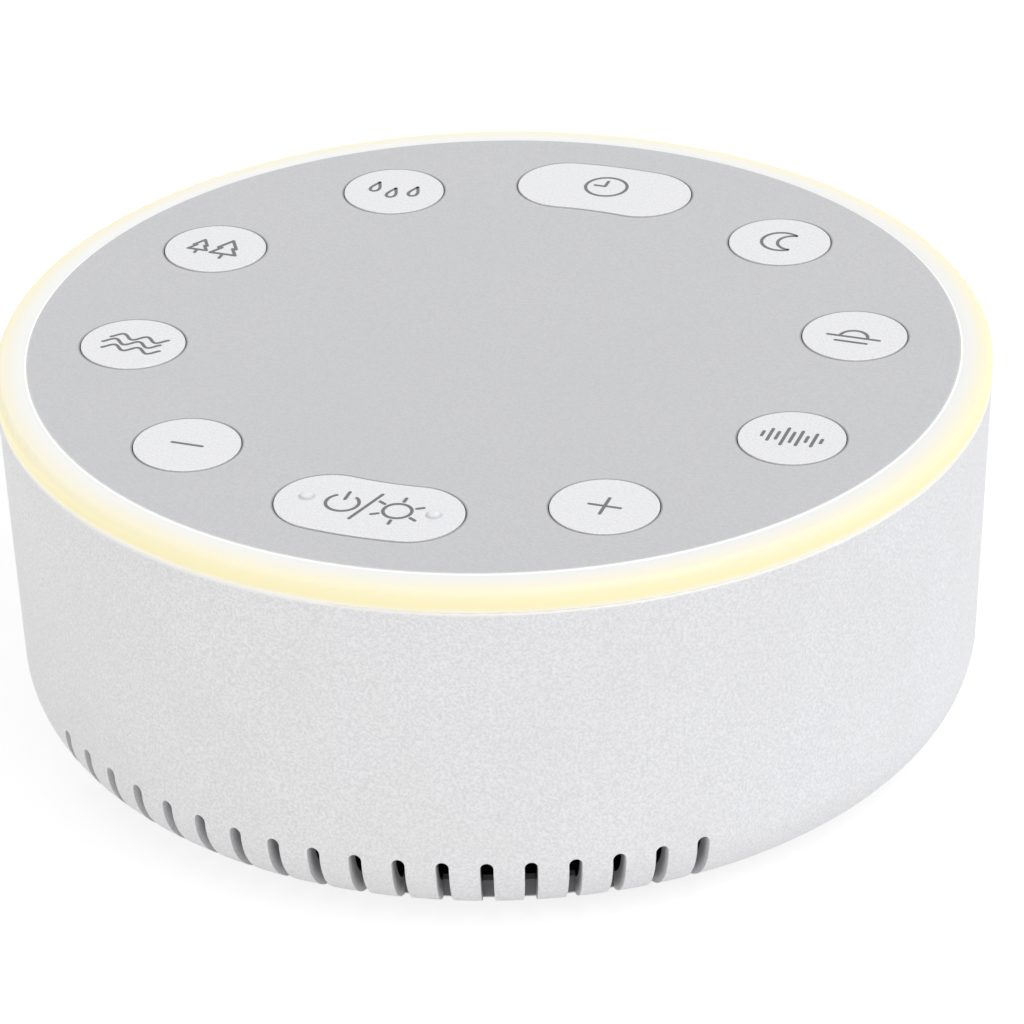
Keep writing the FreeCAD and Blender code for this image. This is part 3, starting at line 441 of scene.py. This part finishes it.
def ink_line(path, closed=False):
    """Corner points and faces of one line of ink. A flat box section is carried along the path; past each open
    end its half width falls as the square root of 1 - s squared, s from 0 at the end to 1 a half width on, so
    the end is round."""
    path = np.asarray(path, float)
    if closed:
        ahead, behind = np.roll(path, -1, 0), np.roll(path, 1, 0)
        widths = np.full(len(path), ink_half_width)
    else:
        s = np.sin(np.linspace(0.0, np.pi / 2, 7))[1:]
        first = (path[0] - path[1]) / np.linalg.norm(path[0] - path[1])
        last = (path[-1] - path[-2]) / np.linalg.norm(path[-1] - path[-2])
        head = path[0] + first * (s * ink_half_width)[::-1, None]
        tail = path[-1] + last * (s * ink_half_width)[:, None]
        narrowest = 0.0001
        taper = ink_half_width * np.sqrt(np.clip(1.0 - s**2, 0.0, 1.0)) + narrowest
        path = np.concatenate([head, path, tail])
        widths = np.concatenate([taper[::-1], np.full(len(path) - 2 * len(s), ink_half_width), taper])
        ahead = np.concatenate([path[1:], path[-1:]])
        behind = np.concatenate([path[:1], path[:-1]])
    along = ahead - behind
    along /= np.linalg.norm(along, axis=1, keepdims=True)
    across = np.stack([-along[:, 1], along[:, 0]], -1) * widths[:, None]
    left, right_side = path + across, path - across
    rows = []
    for edge, height in ((left, ink_low), (right_side, ink_low), (right_side, ink_high), (left, ink_high)):
        rows.append(np.column_stack([edge, np.full(len(edge), height)]))
    points = np.stack(rows, 1).reshape(-1, 3)
    count = len(path)
    i = np.arange(count if closed else count - 1)[:, None] * 4
    j = (i + 4) % (count * 4)
    k = np.arange(4)[None, :]
    m = (k + 1) % 4
    faces = np.stack([i + k, i + m, j + m, j + k], -1).reshape(-1, 4)
    if not closed:
        end = (count - 1) * 4
        faces = np.concatenate([faces, [[3, 2, 1, 0], [end, end + 1, end + 2, end + 3]]])
    return points, faces


def arc_path(centre, radius, start_deg, end_deg, count=48):
    """Points of a circle's arc: centre plus radius times (cos, sin) of an evenly growing angle."""
    angle = np.radians(np.linspace(start_deg, end_deg, count))
    return np.asarray(centre) + radius * np.stack([np.cos(angle), np.sin(angle)], -1)


def full_ring(centre, radius, count=56):
    """A whole circle as a closed path: the arc from 0 degrees to one step short of 360."""
    return arc_path(centre, radius, 0.0, 360.0 - 360.0 / count, count), True


def run(start, end, count=6):
    """Points of a straight line from start to end."""
    return np.linspace(np.asarray(start, float), np.asarray(end, float), count)


def drop(centre, size):
    """Outline of a falling drop: x is 0.62 sin t times sin(t / 2) to the power 1.6, and y is cos t."""
    t = np.linspace(0.0, 2.0 * np.pi, 41)[:-1]
    return centre + size * np.stack([0.62 * np.sin(t) * np.sin(t / 2) ** 1.6, np.cos(t)], -1), True


def key_centre(number):
    """Middle of a key on the circle of keys, counted from the front toward the right."""
    angle = number * key_pitch - np.pi / 2
    return keys_at * np.array([np.cos(angle), np.sin(angle)])


ink = Finish("grey_ink")
coverage = ink.noise(0.12)
ink.surface(
    Base_Color=ink.blend(coverage, tint(104, 104, 106), tint(124, 124, 126)),
    Roughness=coverage * 0.15 + 0.45,
)


def print_mark(name, lines):
    """Joins a key's lines of ink into one piece that moves with its cap. Each line stands a little above the
    one before, as overprinted ink does, so that two that cross don't share a face."""
    parts = [ink_line(*line) if isinstance(line, tuple) else ink_line(line) for line in lines]
    starts = np.cumsum([0] + [len(points) for points, _ in parts[:-1]])
    points = np.concatenate([points + [0.0, 0.0, k * overprint] for k, (points, _) in enumerate(parts)])
    faces = np.concatenate([faces + start for (_, faces), start in zip(parts, starts)])
    mesh = bpy.data.meshes.new(f"{name}_mark")
    mesh.from_pydata((points / 1000.0).tolist(), [], faces.tolist())
    mesh.materials.append(ink.material)
    mark = bpy.data.objects.new(f"{name}_mark", mesh)
    bpy.context.scene.collection.objects.link(mark)
    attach(mark, f"{name}_button")


arm = 1.75
plus, minus = key_centre(1), key_centre(9)
print_mark("volume_up", [run(plus - [arm, 0], plus + [arm, 0]), run(plus - [0, arm], plus + [0, arm])])
print_mark("volume_down", [run(minus - [arm, 0], minus + [arm, 0])])
clock_face = full_ring([0.04, 40.95], 2.47)
hands = [[-1.4, 41.05], [-0.15, 41.05], [-0.15, 42.4]]
print_mark("timer", [clock_face, run(hands[0], hands[1]), run(hands[1], hands[2])])
power, sun = np.array([-3.1, -40.2]), np.array([3.16, -40.24])
beam_angles = np.radians([-150.0, -90.0, -30.0, 30.0, 90.0, 150.0])
beams = np.stack([np.cos(beam_angles), np.sin(beam_angles)], -1)
print_mark(
    "power_light",
    [
        arc_path(power, 1.8, 129.0, 411.0),
        run(power + [0, 0.8], power + [0, 2.4]),
        run([0.44, -37.3], [-1.24, -43.2]),
        full_ring(sun, 1.55),
        *(run(sun + 2.1 * beam, sun + 2.85 * beam) for beam in beams),
    ],
)
rain = key_centre(6)
print_mark("rain", [drop(rain + place, 1.25) for place in ([-2.4, 0.5], [0, -0.5], [2.4, 0.5])])
forest = key_centre(7)
half_fir = np.array([[-1.0, -0.9], [-0.42, 0.25], [-0.72, 0.25]])
fir = np.concatenate([half_fir, [[0, 1.75]], half_fir[::-1] * [-1, 1]]) * [1.3, 1.1]
firs = []
for dx, size in ((-1.95, 0.88), (1.35, 1.2)):
    corners = forest + fir * size + [dx, 0]
    firs += [run(a, b) for a, b in zip(corners, np.roll(corners, -1, 0))]
    firs.append(run(forest + [dx, -0.99 * size], forest + [dx, -1.9 * size]))
print_mark("forest", firs)
ocean = key_centre(8)
swell = np.linspace(-3.3, 3.3, 60)
waves = [
    ocean + np.stack([swell + shift, 0.55 * np.sin(swell * 2.2) + level], -1)
    for shift, level in ((0.25, 1.35), (-0.2, 0.0), (0.25, -1.35))
]
print_mark("ocean", waves)
relax = key_centre(4)
moon_out = arc_path(relax + [0.2, 0], 2.3, 52.0, 308.0, 50)
moon_in = arc_path(relax + [1.62, 0], 1.81, 270.0, 90.0, 34)
print_mark("relax", [(np.concatenate([moon_out, moon_in]), True)])
calm = key_centre(3)
print_mark(
    "calm",
    [
        arc_path(calm + [0, -0.55], 1.6, 0.0, 180.0),
        run(calm + [-3.0, -0.55], calm + [3.0, -0.55]),
        run(calm + [-1.8, -1.7], calm + [1.8, -1.7]),
    ],
)
hiss = key_centre(2)
bars = zip(np.linspace(-3.3, 3.3, 9), (0.5, 1.3, 0.8, 1.9, 1.1, 1.6, 0.6, 1.4, 0.4))
print_mark("white_noise", [run(hiss + [dx, -half], hiss + [dx, half]) for dx, half in bars])


# Plain inner plastics: baffle, switch plungers, plugs, the speaker's tag strip and the socket's tongue.
# Parts straight from the tool, with a faint flow pattern and a fine grain, screwed, clicked or glued in place.
def moulded(name, dark, light, rough, grain_mm=0.5):
    """A plain moulded finish between two tints."""
    finish = Finish(name)
    grain = finish.noise(grain_mm)
    flow = finish.noise(9.0, detail=1.0, distortion=1.2)
    finish.surface(
        Base_Color=finish.blend(flow * 0.6 + grain * 0.4, dark, light),
        Roughness=grain * 0.15 + rough,
        Normal=finish.bumped(grain, 0.02, 0.5),
    )
    return finish.material


dress(moulded("baffle_plastic", tint(58, 58, 60), tint(70, 70, 72), 0.5), "speaker_baffle")
plunger_black = moulded("plunger_black", tint(30, 30, 31), tint(42, 42, 43), 0.4)
dress(plunger_black, "socket_tongue", *(f"{key}_stem" for key in keys))
dress(moulded("plug_cream", tint(226, 221, 205), tint(236, 232, 219), 0.45), "lead_connectors")
dress(moulded("tag_laminate", tint(150, 112, 70), tint(170, 130, 84), 0.55, 0.3), "speaker_terminals")


# Circuit boards and what is soldered to them, screwed down inside the housing.
# Glass-fibre boards under green solder mask, black moulded chips and white lamp packages.
threads_per_metre, tracks_per_metre = 700.0, 260.0
boards = Finish("solder_mask")
point = boards.point()
weave = boards.node("ShaderNodeTexBrick", {"offset": 0.5}, Vector=point, Scale=threads_per_metre, out="Fac")
edges = {"feature": "DISTANCE_TO_EDGE"}
cells = boards.node("ShaderNodeTexVoronoi", edges, Vector=point, Scale=tracks_per_metre)
track = cells.fade(0.03, 0.06)
green = boards.blend(weave * 0.25, tint(22, 92, 56), tint(16, 76, 46))
green = boards.blend(track * 0.6, green, tint(40, 126, 78))
boards.surface(Base_Color=green, Roughness=0.28 + weave * 0.08, Normal=boards.bumped(track, 0.03, 0.6))
dress(boards.material, "control_board", "light_board", "inlet_board")
dress(moulded("chip_black", tint(28, 28, 30), tint(38, 38, 40), 0.45, 0.25), "board_parts")
dress(moulded("lamp_package", tint(236, 230, 196), tint(250, 246, 222), 0.25, 0.4), "ring_lights")


# Bare metal: switch cans, screws, the magnet's steel plates and the power socket's shell.
# Pressed or turned steel with a bright zinc or nickel plate, finely scratched by tumbling.
def plated(name, dark, light, rough, scratch_mm):
    """A plated steel finish whose scratches are drawn out sideways."""
    finish = Finish(name)
    brushed = finish.node("ShaderNodeMapping", {}, Vector=finish.point(), Scale=(1.0, 1.0, 9.0))
    scratches = finish.noise(scratch_mm, detail=4.0, roughness=0.7, point=brushed)
    finish.surface(
        Base_Color=finish.blend(scratches, dark, light),
        Metallic=1.0,
        Roughness=scratches * 0.22 + rough,
        Normal=finish.bumped(scratches, 0.008, 0.6),
    )
    return finish.material


zinc = plated("zinc_plate", tint(150, 152, 156), tint(186, 188, 190), 0.26, 0.8)
screws = (f"{fixed}_screws" for fixed in ("base", "panel", "board", "baffle", "speaker", "inlet"))
dress(zinc, "yoke_plate", "back_plate", *screws)
dress(plated("nickel_shell", tint(176, 176, 176), tint(205, 204, 202), 0.18, 0.5), "socket_shell")
dress(plated("switch_can", tint(140, 141, 143), tint(172, 172, 173), 0.35, 0.6), "tact_switches")


# Speaker: a small full-range driver that faces down, screwed to the baffle.
# Black-coated steel basket, pressed paper cone and cap, rubber surround, resin-cloth spider, ferrite magnet.
# The rubber finish is also that of the gasket under its flange and of the machine's four glued feet.
cone_ridges, cloth_threads, coil_turns = 4.2, 16.0, 34.0
basket = Finish("coated_basket")
peel = basket.noise(0.8)
basket.surface(
    Base_Color=basket.blend(peel, tint(38, 38, 40), tint(50, 50, 52)),
    Roughness=peel * 0.15 + 0.35,
    Normal=basket.bumped(peel, 0.03, 0.6),
)
dress(basket.material, "speaker_frame")
paper_cone = Finish("cone_pulp")
x, y, z, radius = paper_cone.place()
pulp = paper_cone.noise(1.1, detail=5.0, roughness=0.75, distortion=0.6)
ridges = (radius * cone_ridges).sine()
paper_cone.surface(
    Base_Color=paper_cone.blend(pulp, tint(34, 33, 33), tint(62, 60, 58)),
    Roughness=pulp * 0.15 + 0.75,
    Normal=paper_cone.bumped(pulp + ridges * 0.35, 0.08, 0.7),
)
dress(paper_cone.material, "speaker_cone", "dust_cap")
rubber = Finish("soft_rubber")
bloom = rubber.noise(1.4, detail=3.0)
rubber.surface(
    Base_Color=rubber.blend(bloom, tint(34, 34, 35), tint(52, 52, 53)),
    Roughness=bloom * 0.2 + 0.6,
    Normal=rubber.bumped(rubber.noise(0.25), 0.02, 0.7),
)
dress(rubber.material, "speaker_surround", "rubber_feet", "speaker_gasket")
cloth = Finish("resin_cloth")
x, y, z, radius = cloth.place()
weave = (x * cloth_threads).sine() * (y * cloth_threads).sine() * 0.5 + 0.5
cloth.surface(
    Base_Color=cloth.blend(weave, tint(176, 142, 84), tint(206, 174, 112)),
    Roughness=weave * 0.1 + 0.7,
    Normal=cloth.bumped(weave, 0.05, 0.8),
)
dress(cloth.material, "speaker_spider")
copper = Finish("coil_copper")
x, y, z, radius = copper.place()
turns = (z * coil_turns).sine() * 0.5 + 0.5
copper.surface(
    Base_Color=copper.blend(turns, tint(140, 76, 46), tint(206, 130, 86)),
    Metallic=1.0,
    Roughness=turns * 0.1 + 0.28,
    Normal=copper.bumped(turns, 0.05, 0.8),
)
dress(copper.material, "voice_coil")
ferrite = Finish("ferrite")
sinter = ferrite.noise(0.7, detail=5.0, roughness=0.7)
ferrite.surface(
    Base_Color=ferrite.blend(sinter, tint(48, 49, 51), tint(72, 73, 76)),
    Roughness=sinter * 0.2 + 0.5,
    Normal=ferrite.bumped(sinter, 0.05, 0.7),
)
dress(ferrite.material, "speaker_magnet")


# Leads: pairs of thin flexible wires in red insulation between the boards, the speaker and the inlet.
# Extruded soft plastic with a slight shine, soldered at one end and plugged in at the other.
leads = Finish("lead_insulation")
waxy = leads.noise(2.2)
leads.surface(
    Base_Color=leads.blend(waxy, tint(150, 34, 32), tint(176, 48, 44)),
    Roughness=waxy * 0.12 + 0.35,
    Normal=leads.bumped(leads.noise(0.4), 0.015, 0.5),
)
dress(leads.material, "speaker_leads", "inlet_leads", "light_leads")

{"cad": cad_box, "visual": [list(corner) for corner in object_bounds()]}
